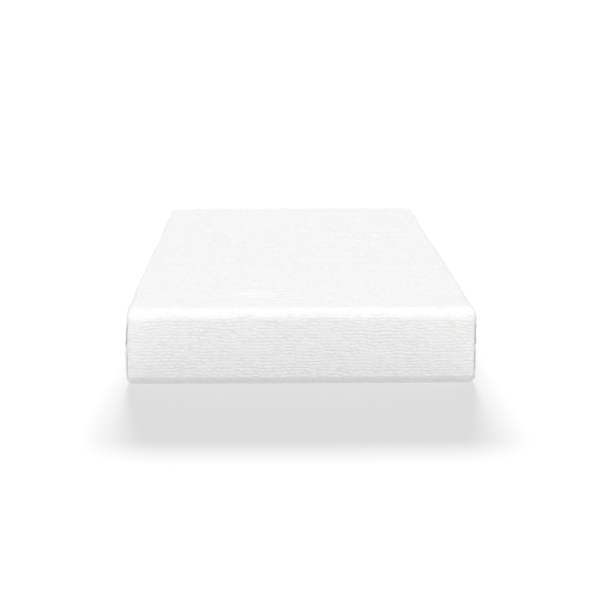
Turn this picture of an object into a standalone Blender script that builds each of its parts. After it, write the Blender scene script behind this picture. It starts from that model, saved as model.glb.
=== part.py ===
"""A single memory foam mattress that comes apart: foam slabs, inner sleeve, sewn knit cover and zip.

Metres, +Z up. The origin is on the floor under the middle of the mattress and the length runs along Y.
The foot end faces -Y and is one plain run of cover; the zip closes the head end at +Y and both sides.
The cover is a main panel that wraps head, top, foot and base. Each side of it is closed by an upper and a
lower side strip, which hold the zip between them and are sewn together between the zip and the foot end.
Depths are measured inwards from the outside of the finished mattress.
"""

import math

import bmesh
import bpy

# Finished size
WIDTH = 0.900
LENGTH = 1.900
HEIGHT = 0.200
EDGE_RADIUS = 0.020
EDGE_SEGMENTS = 6

# Clearance that separates pieces which touch on the real mattress
GAP = 0.0003

# Fabric thicknesses, and how loosely the sides of the cover sit on the sleeve
COVER = 0.005
COVER_HEM = 0.0036
SLEEVE = 0.001
SIDE_EASE = 0.0015

# Foam slabs from the top down; the support core takes the height that is left
MEMORY_FOAM = 0.050
TRANSITION_FOAM = 0.040

# Opening that the sleeve is pulled on through, at the head end
SLEEVE_MOUTH_WIDTH = 0.700
SLEEVE_MOUTH_HEIGHT = 0.080

# Zip: a number 5 coil chain on woven tape, half way up the wall
ZIP_HEIGHT = HEIGHT / 2
ZIP_START = -0.800
SLOT_HEIGHT = 0.012
POCKET_HEIGHT = 0.032
POCKET_OVERRUN = 0.020
TAPE_DEPTH = COVER_HEM + GAP
TAPE = 0.0008
TAPE_REACH = 0.0155
TAPE_OVERRUN = 0.015
CHAIN_GAP = 0.0016
COIL_WIDTH = 0.0024
COIL = 0.0022

# Slider: an outer and an inner plate joined by a web that runs between the two coils
SLIDER_LENGTH = 0.013
SLIDER_PLATE = 0.0012
SLIDER_FLANGE = 0.0012
SLIDER_WEB = 0.0010
SLIDER_EASE = 0.0003
SLIDER_Y = ZIP_START + 0.010
BAIL_LENGTH = 0.007
BAIL_WIDTH = 0.002
BAIL_CLEAR = 0.002
BAIL_BAR = 0.001

# Puller: a flat tab whose end bar passes under the bail
PULLER = 0.0012
PULLER_WINDOW = 0.0045
PULLER_WINDOW_HALF = 0.0014
PULLER_NECK_HALF = 0.0029
PULLER_TAB_HALF = 0.0045
PULLER_TAB_START = 0.009
PULLER_LENGTH = 0.026

# Care label: a blank satin loop caught in the seam at the head end
LABEL = 0.0006
LABEL_LENGTH = 0.040
LABEL_LOW = 0.022
LABEL_HIGH = 0.077

MERGE = 0.00001
BEYOND = 0.050

# Colours are linear RGB
KNIT_WHITE = (0.90, 0.90, 0.90)
SLEEVE_WHITE = (0.86, 0.86, 0.85)
MEMORY_CREAM = (0.88, 0.84, 0.72)
TRANSITION_BLUE = (0.60, 0.72, 0.80)
CORE_WHITE = (0.84, 0.83, 0.79)
TAPE_WHITE = (0.85, 0.85, 0.85)
NYLON_WHITE = (0.82, 0.82, 0.82)
NICKEL = (0.66, 0.65, 0.62)
SATIN_WHITE = (0.90, 0.90, 0.89)


def clear_scene():
    for obj in list(bpy.data.objects):
        bpy.data.objects.remove(obj, do_unlink=True)


def collection(name):
    found = bpy.data.collections.new(name)
    bpy.context.scene.collection.children.link(found)
    return found


def material(name, colour, roughness, metallic=0.0):
    made = bpy.data.materials.new(name)
    made.use_nodes = True
    shader = made.node_tree.nodes["Principled BSDF"]
    shader.inputs["Base Color"].default_value = (*colour, 1.0)
    shader.inputs["Roughness"].default_value = roughness
    shader.inputs["Metallic"].default_value = metallic
    return made


def piece(name, mesh, surface):
    """A part of the mattress, in its own material."""
    obj = bpy.data.objects.new(name, mesh)
    PARTS.objects.link(obj)
    obj.data.materials.append(surface)
    return obj


def helper(name, mesh):
    """A cutter, which isn't part of the mattress."""
    obj = bpy.data.objects.new(name, mesh)
    CUTTERS.objects.link(obj)
    obj.hide_render = True
    obj.display_type = "WIRE"
    return obj


def box_mesh(name, low, high):
    """A box between two opposite corners."""
    bm = bmesh.new()
    bmesh.ops.create_cube(bm, size=1.0)
    for vert in bm.verts:
        for axis in range(3):
            vert.co[axis] = low[axis] + (high[axis] - low[axis]) * (vert.co[axis] + 0.5)
    mesh = bpy.data.meshes.new(name)
    bm.to_mesh(mesh)
    bm.free()
    return mesh


def block_mesh(name, side_depth, face_depth):
    """The box that lies side_depth inside the walls and face_depth inside the top and the base."""
    half_width = WIDTH / 2 - side_depth
    half_length = LENGTH / 2 - side_depth
    low = (-half_width, -half_length, face_depth)
    high = (half_width, half_length, HEIGHT - face_depth)
    return box_mesh(name, low, high)


def round_edges(obj, radius):
    bevel = obj.modifiers.new("rounded edges", "BEVEL")
    bevel.width = radius
    bevel.segments = EDGE_SEGMENTS
    bevel.limit_method = "NONE"
    return obj


def rounded_piece(name, side_depth, face_depth, surface):
    mesh = block_mesh(name, side_depth, face_depth)
    return round_edges(piece(name, mesh, surface), EDGE_RADIUS - side_depth)


def rounded_cutter(name, side_depth, face_depth):
    mesh = block_mesh(name, side_depth, face_depth)
    return round_edges(helper(name, mesh), EDGE_RADIUS - side_depth)


def boolean(obj, operation, other):
    change = obj.modifiers.new(other.name, "BOOLEAN")
    change.operation = operation
    change.solver = "EXACT"
    change.object = other
    return obj


def wall_path(depth, start_y, last_angle):
    """Points along the wall at one depth, from the right side at start_y round the head end.

    last_angle is where it stops: 180 degrees is the left side, and it then runs back to start_y.
    """
    radius = EDGE_RADIUS - depth
    centre_x = WIDTH / 2 - EDGE_RADIUS
    centre_y = LENGTH / 2 - EDGE_RADIUS
    points = [(WIDTH / 2 - depth, start_y)]
    steps = round(EDGE_SEGMENTS * last_angle / 90)
    for step in range(steps + 1):
        turn = last_angle * step / steps
        for side, first, last in ((1, 0, 90), (-1, 90, 180)):
            if first <= turn <= last:
                x = side * centre_x + radius * math.cos(math.radians(turn))
                y = centre_y + radius * math.sin(math.radians(turn))
                points.append((x, y))
    if last_angle == 180:
        points.append((-(WIDTH / 2 - depth), start_y))
    return points


def wall_strip(name, surface, depth, thickness, low, high, start_y, last_angle=180):
    """A strip that stands on edge and follows the wall, thickened inwards."""
    bm = bmesh.new()
    pairs = []
    for x, y in wall_path(depth, start_y, last_angle):
        pairs.append((bm.verts.new((x, y, low)), bm.verts.new((x, y, high))))
    for (low_a, high_a), (low_b, high_b) in zip(pairs, pairs[1:]):
        bm.faces.new((low_a, low_b, high_b, high_a))
    mesh = bpy.data.meshes.new(name)
    bm.to_mesh(mesh)
    bm.free()
    strip = piece(name, mesh, surface)
    wall = strip.modifiers.new("thickness", "SOLIDIFY")
    wall.thickness = thickness
    wall.offset = -1
    wall.use_even_offset = True
    return strip


def make_foam(side_depth, face_depth):
    """Three slabs cut from one rounded block, bonded face to face."""
    slabs = (
        ("memory_foam_layer", MEMORY_FOAM, material("memory foam", MEMORY_CREAM, 0.95)),
        ("transition_foam_layer", TRANSITION_FOAM, material("transition foam", TRANSITION_BLUE, 0.95)),
        ("support_foam_core", None, material("support foam", CORE_WHITE, 0.95)),
    )
    top = HEIGHT - face_depth
    for name, thickness, surface in slabs:
        bottom = top - thickness if thickness else face_depth
        slab_low = (-WIDTH, -LENGTH, bottom if thickness else -BEYOND)
        slab_high = (WIDTH, LENGTH, top if top < HEIGHT - face_depth else HEIGHT + BEYOND)
        slab = rounded_piece(name, side_depth, face_depth, surface)
        boolean(slab, "INTERSECT", helper(name + " extent", box_mesh(name, slab_low, slab_high)))
        top = bottom - GAP


def make_sleeve(side_depth, face_depth):
    """A thin knitted bag round the foam, open at the head end where it was pulled on."""
    sleeve = rounded_piece("inner_sleeve", side_depth, face_depth, material("sleeve knit", SLEEVE_WHITE, 0.9))
    boolean(sleeve, "DIFFERENCE", rounded_cutter("sleeve hollow", side_depth + SLEEVE, face_depth + SLEEVE))
    mouth_low = (-SLEEVE_MOUTH_WIDTH / 2, LENGTH / 2 - BEYOND, ZIP_HEIGHT - SLEEVE_MOUTH_HEIGHT / 2)
    mouth_high = (SLEEVE_MOUTH_WIDTH / 2, LENGTH / 2 + BEYOND, ZIP_HEIGHT + SLEEVE_MOUTH_HEIGHT / 2)
    mouth = helper("sleeve mouth", box_mesh("sleeve mouth", mouth_low, mouth_high))
    boolean(sleeve, "DIFFERENCE", mouth)


def zip_cutters():
    """The slot that the chain shows through, and the shallower pocket behind it that the tape lies in."""
    slot_low = (-WIDTH, ZIP_START, ZIP_HEIGHT - SLOT_HEIGHT / 2)
    slot_high = (WIDTH, LENGTH, ZIP_HEIGHT + SLOT_HEIGHT / 2)
    slot = helper("zip slot", box_mesh("zip slot", slot_low, slot_high))
    pocket = rounded_cutter("zip pocket", COVER_HEM, COVER_HEM)
    band_low = (-WIDTH, ZIP_START - POCKET_OVERRUN, ZIP_HEIGHT - POCKET_HEIGHT / 2)
    band_high = (WIDTH, LENGTH, ZIP_HEIGHT + POCKET_HEIGHT / 2)
    band = helper("zip pocket extent", box_mesh("zip pocket extent", band_low, band_high))
    boolean(pocket, "INTERSECT", band)
    return slot, pocket


def make_cover():
    """The main panel wraps round the length; two side strips, each a flat skin, close either side of it."""
    knit = material("cover knit", KNIT_WHITE, 0.85)
    cutters = zip_cutters()
    seam_x = WIDTH / 2 - COVER
    main = rounded_piece("cover_main_panel", 0, 0, knit)
    boolean(main, "DIFFERENCE", rounded_cutter("cover hollow", COVER, COVER))
    middle_low = (-(seam_x - GAP), -LENGTH, -BEYOND)
    middle_high = (seam_x - GAP, LENGTH, HEIGHT + BEYOND)
    boolean(main, "INTERSECT", helper("main panel extent", box_mesh("middle", middle_low, middle_high)))
    panels = [main]
    for side_name, side in (("left", -1), ("right", 1)):
        for level_name, level in (("upper", 1), ("lower", -1)):
            x_low, x_high = sorted((side * seam_x, side * WIDTH))
            z_low, z_high = sorted((ZIP_HEIGHT + level * GAP / 2, ZIP_HEIGHT + level * HEIGHT))
            name = "cover_side_" + level_name + "_" + side_name
            strip = rounded_piece(name, 0, 0, knit)
            extent = box_mesh(name, (x_low, -LENGTH, z_low), (x_high, LENGTH, z_high))
            boolean(strip, "INTERSECT", helper(name + " extent", extent))
            panels.append(strip)
    for panel in panels:
        for cutter in cutters:
            boolean(panel, "DIFFERENCE", cutter)


def make_zip_chain():
    """An upper and a lower half, each a coil on the edge of its own tape."""
    woven = material("zip tape", TAPE_WHITE, 0.8)
    nylon = material("zip nylon", NYLON_WHITE, 0.45)
    coil_depth = TAPE_DEPTH - GAP - COIL
    inner = CHAIN_GAP / 2
    for half, side in (("upper", 1), ("lower", -1)):
        tape_edges = sorted((ZIP_HEIGHT + side * inner, ZIP_HEIGHT + side * TAPE_REACH))
        coil_edges = sorted((ZIP_HEIGHT + side * inner, ZIP_HEIGHT + side * (inner + COIL_WIDTH)))
        wall_strip("zip_tape_" + half, woven, TAPE_DEPTH, TAPE, *tape_edges, ZIP_START - TAPE_OVERRUN)
        wall_strip("zip_coil_" + half, nylon, coil_depth, COIL, *coil_edges, ZIP_START + GAP)


def extruded(name, outlines, thickness, surface=None):
    """Closed outlines in the XY plane, thickened both ways along Z; an outline inside another is a hole."""
    curve = bpy.data.curves.new(name, "CURVE")
    curve.dimensions = "2D"
    curve.fill_mode = "BOTH"
    curve.extrude = thickness / 2
    for outline in outlines:
        spline = curve.splines.new("POLY")
        spline.points.add(len(outline) - 1)
        for point, (x, y) in zip(spline.points, outline):
            point.co = (x, y, 0, 1)
        spline.use_cyclic_u = True
    drawn = bpy.data.objects.new(name + " outline", curve)
    PARTS.objects.link(drawn)
    graph = bpy.context.evaluated_depsgraph_get()
    mesh = bpy.data.meshes.new_from_object(drawn.evaluated_get(graph))
    mesh.name = name
    bpy.data.objects.remove(drawn)
    bm = bmesh.new()
    bm.from_mesh(mesh)
    bmesh.ops.remove_doubles(bm, verts=bm.verts, dist=MERGE)
    bm.to_mesh(mesh)
    bm.free()
    mesh.materials.clear()
    return piece(name, mesh, surface) if surface else helper(name, mesh)


def slider_section():
    """Half of the slider's section: outwards is x, measured from the cover's face, and up is y."""
    coil_depth = TAPE_DEPTH - GAP - COIL
    roof = -(coil_depth - SLIDER_EASE)
    outside = roof + SLIDER_PLATE
    lip = -(TAPE_DEPTH - SLIDER_EASE)
    floor = -(TAPE_DEPTH + TAPE + SLIDER_EASE)
    inside = floor - SLIDER_PLATE
    hollow = CHAIN_GAP / 2 + COIL_WIDTH + SLIDER_EASE
    outer = hollow + SLIDER_FLANGE
    web = SLIDER_WEB / 2
    half = [(outside, outer), (lip, outer), (lip, hollow), (roof, hollow)]
    half += [(roof, web), (floor, web), (floor, outer), (inside, outer)]
    return half, outside


def make_slider(metal):
    """One casting: the plates round the chain, with the bail standing on the outer plate."""
    half, outside = slider_section()
    section = half + [(x, -y) for x, y in reversed(half)]
    slider = extruded("zip_slider", [section], SLIDER_LENGTH, metal)
    place = (WIDTH / 2, SLIDER_Y, ZIP_HEIGHT)
    slider.rotation_euler = (math.radians(90), 0, 0)
    slider.location = place
    reach = BAIL_LENGTH / 2
    leg = reach - BAIL_BAR
    root = outside - SLIDER_PLATE / 2
    under = outside + BAIL_CLEAR
    top = under + BAIL_BAR
    arch = [(root, -reach), (top, -reach), (top, reach), (root, reach)]
    arch += [(root, leg), (under, leg), (under, -leg), (root, -leg)]
    bail = extruded("bail", [arch], BAIL_WIDTH)
    bail.location = place
    boolean(slider, "UNION", bail)
    return outside


def make_puller(metal, plate_face):
    """The tab lies along the chain; its origin is on the bar that turns under the bail."""
    bar = PULLER / 2
    outline = [(-PULLER_NECK_HALF, -bar), (PULLER_NECK_HALF, -bar), (PULLER_NECK_HALF, PULLER_WINDOW)]
    outline += [(PULLER_TAB_HALF, PULLER_TAB_START), (PULLER_TAB_HALF, PULLER_LENGTH)]
    outline += [(-PULLER_TAB_HALF, PULLER_LENGTH), (-PULLER_TAB_HALF, PULLER_TAB_START)]
    outline += [(-PULLER_NECK_HALF, PULLER_WINDOW)]
    hole = PULLER_WINDOW_HALF
    window = [(-hole, bar), (hole, bar), (hole, PULLER_WINDOW), (-hole, PULLER_WINDOW)]
    puller = extruded("zip_puller", [outline, window], PULLER, metal)
    puller.rotation_euler = (0, math.radians(90), 0)
    puller.location = (WIDTH / 2 + plate_face + BAIL_CLEAR / 2, SLIDER_Y, ZIP_HEIGHT)


def make_label():
    """It lies flat on the right side and turns the corner to end in the seam."""
    seam_angle = math.degrees(math.acos(1 - COVER / EDGE_RADIUS))
    start = LENGTH / 2 - EDGE_RADIUS - LABEL_LENGTH
    satin = material("label satin", SATIN_WHITE, 0.5)
    wall_strip("care_label", satin, -(GAP + LABEL), LABEL, LABEL_LOW, LABEL_HIGH, start, seam_angle)


def build():
    sleeve_side = COVER + SIDE_EASE
    sleeve_face = COVER + GAP
    make_foam(sleeve_side + SLEEVE + GAP, sleeve_face + SLEEVE + GAP)
    make_sleeve(sleeve_side, sleeve_face)
    make_cover()
    make_zip_chain()
    nickel = material("nickel plate", NICKEL, 0.3, 1.0)
    plate_face = make_slider(nickel)
    make_puller(nickel, plate_face)
    make_label()


clear_scene()
PARTS = collection("Memory foam mattress")
CUTTERS = collection("Cutters")
build()
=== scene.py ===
"""Looks of a single memory foam mattress: relief-knit cover, coil zip, inner sleeve and foam.

Metres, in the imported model's frame: the foot end faces -Y, the head end is at +Y and the floor is at z = 0.
Each shape is a surface worked out with numpy as a function of two parameters on a grid, and a sheet of fabric
gets an inner face as well. A depth is measured inwards from the outside of the finished mattress.
"""

import math

import bpy
import numpy as np
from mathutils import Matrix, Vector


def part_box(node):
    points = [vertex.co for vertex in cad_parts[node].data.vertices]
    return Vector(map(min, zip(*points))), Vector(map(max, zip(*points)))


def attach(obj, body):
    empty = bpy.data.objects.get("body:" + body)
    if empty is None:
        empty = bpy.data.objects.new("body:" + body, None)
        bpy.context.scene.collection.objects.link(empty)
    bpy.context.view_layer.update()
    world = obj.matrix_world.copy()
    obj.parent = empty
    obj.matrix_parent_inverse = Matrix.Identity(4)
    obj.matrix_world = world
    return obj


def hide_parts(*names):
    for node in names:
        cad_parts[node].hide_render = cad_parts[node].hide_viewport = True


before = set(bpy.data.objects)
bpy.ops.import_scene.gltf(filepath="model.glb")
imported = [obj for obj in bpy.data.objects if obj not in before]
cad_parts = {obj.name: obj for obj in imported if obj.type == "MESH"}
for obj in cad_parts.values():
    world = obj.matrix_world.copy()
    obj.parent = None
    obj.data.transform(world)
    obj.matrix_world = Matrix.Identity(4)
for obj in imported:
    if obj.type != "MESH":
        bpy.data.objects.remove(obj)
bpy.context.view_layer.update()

MM = 0.001
QUARTER = math.pi / 2

# ---------------------------------------------------------------- sizes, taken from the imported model
MAIN_LOW, MAIN_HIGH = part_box("cover_main_panel")
_, SIDE_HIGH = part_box("cover_side_upper_right")
TAPE_LOW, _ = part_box("zip_tape_upper")
COIL_LOW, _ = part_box("zip_coil_upper")
SLEEVE_LOW, SLEEVE_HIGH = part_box("inner_sleeve")
LABEL_LOW, LABEL_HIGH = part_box("care_label")
SLIDER_LOW, SLIDER_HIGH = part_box("zip_slider")
SLIDER_MIDDLE = (SLIDER_LOW.y + SLIDER_HIGH.y) / 2
SLIDER_HALF_LONG = (SLIDER_HIGH.y - SLIDER_LOW.y) / 2
SLIDER_HALF_WIDE = (SLIDER_HIGH.z - SLIDER_LOW.z) / 2

WIDTH = 2 * SIDE_HIGH.x
LENGTH = MAIN_HIGH.y - MAIN_LOW.y
HEIGHT = MAIN_HIGH.z - MAIN_LOW.z
HALF_WIDTH, HALF_LENGTH = WIDTH / 2, LENGTH / 2
ZIP_Z = HEIGHT / 2
ZIP_START = -0.800
SLOT_HALF = 6 * MM

# ---------------------------------------------------------------- the cover's shape
TOP_FOOT_RADIUS = 29 * MM
BASE_FOOT_RADIUS = 26 * MM
HEAD_RADIUS = 22 * MM
LONG_TOP_ROLL = 15 * MM
LONG_BASE_ROLL = 19 * MM
FOOT_CORNER_ROLL = 13 * MM
HEAD_CORNER_ROLL = 20 * MM
SEAM_ANGLE = math.radians(50)
SEAM_GAP = 0.05 * MM
FABRIC = 3.2 * MM
HEM_FABRIC = 0.6 * MM
TUCK_RADIUS = 0.7 * MM
TUCK_LENGTH = 3.4 * MM
PANEL_COLUMNS = 285
INNER_STRIDE = 6

# Relief of the knit: lens-shaped pebbles, wider than they are high
PEBBLE_WIDE = 17 * MM
PEBBLE_HIGH = 8.6 * MM
PEBBLE_DEEP = 1.15 * MM

# ---------------------------------------------------------------- cloth runs that plump the cover's panels
CLOTH_CELL = 18 * MM
CLOTH_HOLD = 0.3
CLOTH_STIFF_PIN = 1.2
CLOTH_EXCESS = 0.004
CLOTH_WEIGHT = 0.25
CLOTH_BENDING = 10.0
CLOTH_PRESSURE = 4.0
CLOTH_FRAMES = 20
PLUMP_OUT = 2.2 * MM
PLUMP_IN = 1.0 * MM

# ---------------------------------------------------------------- zip, stitches and label
COIL_PITCH = 1.8 * MM
COIL_WIRE = 0.35 * MM
STITCH_PITCH = 3.6 * MM
STITCH_LENGTH = 2.7 * MM
STITCH_WIRE = 0.28 * MM
HEM_STITCH = 3.2 * MM
TAPE_EDGES = (0.8 * MM, 15.4 * MM)
TAPE_DEPTH = 4.3 * MM
LABEL_SHOWN = 40 * MM

# ---------------------------------------------------------------- foam and sleeve
FOAM_CELL = 14 * MM
FOAM_GAP = FABRIC + 3.6 * MM
SLEEVE_GAP = FABRIC + 2.4 * MM
SLEEVE_ROUNDING = (17 * MM, 17 * MM, 15 * MM)
MOUTH_HALF_WIDE = 0.350
MOUTH_HALF_TALL = 0.040

# ---------------------------------------------------------------- camera, floor and light; angles in degrees
CAMERA_LENS = 91.78
CAMERA_PLACE = (-0.0727, -4.768, 0.988)
CAMERA_DOWN = 11.29
CAMERA_TURN = 1.04
FLOOR_HALF = 400.0
FLOOR_TONE = 0.32
FLOOR_GLOW = 0.565
SKY_STRENGTH = 0.735
KEY_SUN = {"strength": 2.02, "angle": 50, "azimuth": 2, "elevation": 66}
BACK_SUN = {"strength": 10.4 / 3, "angle": 7, "elevation": 17.9}
BACK_TURNS = (-6, 0, 6)


# ================================================================ small tools
def smooth(x):
    """0 below 0, 1 above 1, and 3x^2 - 2x^3 between."""
    x = np.clip(x, 0, 1)
    return x * x * (3 - 2 * x)


def bell(x, width):
    """The curve exp(-(x / width)^2)."""
    return np.exp(-((x / width) ** 2))


def round_turn(count):
    """Angles spaced evenly round a circle."""
    return np.linspace(0, 2 * math.pi, count + 1)[:-1]


def squared(x, power):
    """The size of x to a power below 1 with its sign kept, which squares off a sine or a cosine."""
    return np.sign(x) * np.abs(x) ** power


def hashed(i, j, salt):
    """A repeatable number from 0 to 1 for each pair of whole numbers: the fraction of a large multiple of a sine."""
    return np.modf(np.abs(np.sin(i * 127.1 + j * 311.7 + salt * 74.7) * 43758.5453))[0]


def waves(a, b, size, salt):
    """Smooth noise from -1 to 1: corner values of a square lattice of that size, blended with smooth()."""
    a, b = np.broadcast_arrays(a / size, b / size)
    i, j = np.floor(a), np.floor(b)
    s, t = smooth(a - i), smooth(b - j)
    low = hashed(i, j, salt) * (1 - s) + hashed(i + 1, j, salt) * s
    high = hashed(i, j + 1, salt) * (1 - s) + hashed(i + 1, j + 1, salt) * s
    return 2 * (low * (1 - t) + high * t) - 1


def spans(start, *runs):
    """Distances along a line: each run (end, spacing) is cut evenly into steps of about that spacing."""
    at = [np.array([start])]
    for end, spacing in runs:
        steps = max(1, round(abs(end - start) / spacing))
        at.append(np.linspace(start, end, steps + 1)[1:])
        start = end
    return np.concatenate(at)


def trace(segments, start, heading):
    """A flat path of straight runs and arcs as a function of distance, and the distances where its segments meet.

    Each segment is (length, turn). The heading changes evenly along it, and the place is the running sum of
    (cos heading, sin heading) over short steps.
    """
    knots = np.concatenate([[0], np.cumsum([length for length, _ in segments])])
    angles = heading + np.concatenate([[0], np.cumsum([turn for _, turn in segments])])
    fine = np.unique(np.concatenate([np.linspace(0, knots[-1], 20001), knots]))
    middle = np.interp((fine[1:] + fine[:-1]) / 2, knots, angles)
    first = start[0] + np.concatenate([[0], np.cumsum(np.cos(middle) * np.diff(fine))])
    second = start[1] + np.concatenate([[0], np.cumsum(np.sin(middle) * np.diff(fine))])

    def at(distance):
        return (
            np.interp(distance, fine, first),
            np.interp(distance, fine, second),
            np.interp(distance, knots, angles),
        )

    return at, knots


def unit(vectors):
    """The vectors at length 1."""
    return vectors / np.maximum(np.linalg.norm(vectors, axis=-1, keepdims=True), 1e-12)


def normals_of(grid):
    """Unit normals of a grid of points: the cross product of its gradients down the rows and along them."""
    return unit(np.cross(np.gradient(grid, axis=0), np.gradient(grid, axis=1)))


def make_mesh(name, points, *faces, attributes=None):
    """A smooth-shaded mesh from an array of points and arrays of faces of equal size each."""
    loops = np.concatenate([part.reshape(-1) for part in faces])
    sizes = np.concatenate([np.full(len(part), part.shape[1]) for part in faces])
    mesh = bpy.data.meshes.new(name)
    mesh.vertices.add(len(points))
    mesh.vertices.foreach_set("co", np.ascontiguousarray(points, np.float32).reshape(-1))
    mesh.loops.add(len(loops))
    mesh.loops.foreach_set("vertex_index", loops.astype(np.int32))
    mesh.polygons.add(len(sizes))
    mesh.polygons.foreach_set("loop_start", np.concatenate([[0], np.cumsum(sizes)[:-1]]).astype(np.int32))
    mesh.update(calc_edges=True)
    mesh.shade_smooth()
    for key, values in (attributes or {}).items():
        layer = mesh.attributes.new(key, "FLOAT", "POINT")
        layer.data.foreach_set("value", np.ascontiguousarray(values, np.float32).reshape(-1))
    return mesh


def add_piece(name, mesh, material, body, slot, *replaced):
    """A finished piece at the origin, riding on its body and standing for its nodes."""
    piece = bpy.data.objects.new(name, mesh)
    bpy.context.scene.collection.objects.link(piece)
    piece.data.materials.append(material)
    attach(piece, body)
    if replaced:
        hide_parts(*replaced)
    return piece


def grid_faces(rows, cols, first=0, ring=False):
    """Quads between the points of a row-major grid, facing as normals_of() does. A ring joins its last column to
    its first."""
    i = np.arange(rows - 1)[:, None]
    j = np.arange(cols if ring else cols - 1)[None, :]
    k = (j + 1) % cols
    quads = np.stack([i * cols + j, (i + 1) * cols + j, (i + 1) * cols + k, i * cols + k], -1)
    return quads.reshape(-1, 4) + first


def edge_fans(fine, coarse, picks):
    """Triangles from a fine row of points to a coarse one that has a point for each pick of the fine row."""
    i = np.arange(len(fine) - 1)
    j = np.searchsorted(picks, i, side="right") - 1
    k = np.arange(len(picks) - 1)
    return np.concatenate([
        np.stack([fine[i], fine[i + 1], coarse[j]], -1),
        np.stack([fine[picks[k + 1]], coarse[k + 1], coarse[k]], -1),
    ])


def closed_shell(name, outer, inner, rows, cols, attributes):
    """A sheet with two faces: the outer grid, an inner grid on the picked rows and columns, and four joined edges."""
    high, wide = outer.shape[:2]
    count = high * wide
    outer_ids = np.arange(count).reshape(high, wide)
    inner_ids = count + np.arange(len(rows) * len(cols)).reshape(len(rows), len(cols))
    edges = np.concatenate([
        edge_fans(outer_ids[0], inner_ids[0], cols),
        edge_fans(outer_ids[-1], inner_ids[-1], cols)[:, ::-1],
        edge_fans(outer_ids[:, 0], inner_ids[:, 0], rows)[:, ::-1],
        edge_fans(outer_ids[:, -1], inner_ids[:, -1], rows),
    ])
    full = {
        key: np.concatenate([values.reshape(-1), values[np.ix_(rows, cols)].reshape(-1)])
        for key, values in attributes.items()
    }
    return make_mesh(
        name,
        np.concatenate([outer.reshape(-1, 3), inner.reshape(-1, 3)]),
        grid_faces(high, wide),
        grid_faces(len(rows), len(cols), count)[:, ::-1],
        edges,
        attributes=full,
    )


# ================================================================ fabric surfaces
def pebbles(across, along, salt):
    """Relief of the knit, from 0 in the grooves to 1 on the pebbles.

    Pebble centres are a brick lattice with a repeatable shift each. The height rises smoothly with the difference
    between the distances to the second nearest centre and to the nearest, less so between neighbours of one row and
    in patches, and falls a little away from the centre.
    """
    u = across / PEBBLE_WIDE + 0.30 * waves(across, along, 37 * MM, salt)
    v = along / PEBBLE_HIGH + 0.32 * waves(across, along, 31 * MM, salt + 1)
    row = np.floor(v)
    nearest, second = np.full(u.shape, 9.0), np.full(u.shape, 9.0)
    level, other = np.zeros(u.shape), np.zeros(u.shape)
    for row_step in (-1, 0, 1):
        brick = row + row_step
        shift = 0.5 * np.mod(brick, 2)
        column = np.floor(u - shift)
        for column_step in (-1, 0, 1):
            cell = column + column_step
            x = cell + 0.5 + shift + 0.9 * (hashed(cell, brick, salt) - 0.5) - u
            y = brick + 0.5 + 0.5 * (hashed(cell, brick, salt + 5) - 0.5) - v
            distance = np.sqrt(x * x + y * y)
            closer, next_one = distance < nearest, distance < second
            other = np.where(closer, level, np.where(next_one, y, other))
            second = np.where(closer, nearest, np.where(next_one, distance, second))
            level, nearest = np.where(closer, y, level), np.where(closer, distance, nearest)
    patches = 0.3 + 0.7 * smooth(0.5 + 0.9 * waves(across, along, 11 * MM, salt + 9))
    groove = patches * bell(second - nearest, 0.26) * (0.45 + 0.55 * smooth(1.2 * np.abs(level - other)))
    return (1 - groove) * (1 - 0.35 * nearest)


# Where the filled cover gives a little: (centre, reach, push)
SETTLES = (
    ((-0.450, -0.950, 0.200), (0.050, 0.050, 0.045), (5 * MM, 3 * MM, -5 * MM)),
    ((0.450, -0.950, 0.200), (0.030, 0.030, 0.030), (1 * MM, 0, -1 * MM)),
    ((-0.450, -0.780, 0.190), (0.060, 0.110, 0.060), (2.6 * MM, 0, -1.2 * MM)),
    ((0.450, -0.760, 0.190), (0.060, 0.120, 0.060), (-2.2 * MM, 0, -1.0 * MM)),
    ((-0.450, 0.250, 0.190), (0.060, 0.200, 0.060), (2.0 * MM, 0, -1.0 * MM)),
    ((0.450, 0.380, 0.190), (0.060, 0.240, 0.060), (-2.0 * MM, 0, -1.0 * MM)),
    ((0.080, -0.700, 0.200), (0.300, 0.200, 0.060), (0, 0, 1.2 * MM)),
    ((0.000, -0.950, 0.200), (3.000, 0.050, 0.055), (0, 3.0 * MM, 0)),
    ((0.000, -0.950, 0.000), (3.000, 0.050, 0.045), (0, 2.5 * MM, 0)),
    ((0.450, -0.950, 0.110), (0.040, 0.050, 0.120), (0, 4.0 * MM, 0)),
    ((-0.450, -0.950, 0.110), (0.035, 0.050, 0.120), (0, 3.0 * MM, 0)),
)


def settled(points):
    """The points moved by the sum of a few pushes, each fading as a bell curve around its centre."""
    moved = points.copy()
    for centre, reach, push in SETTLES:
        away = (points - np.array(centre)) / np.array(reach)
        moved += np.exp(-(away ** 2).sum(-1))[..., None] * np.array(push)
    return moved


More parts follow.
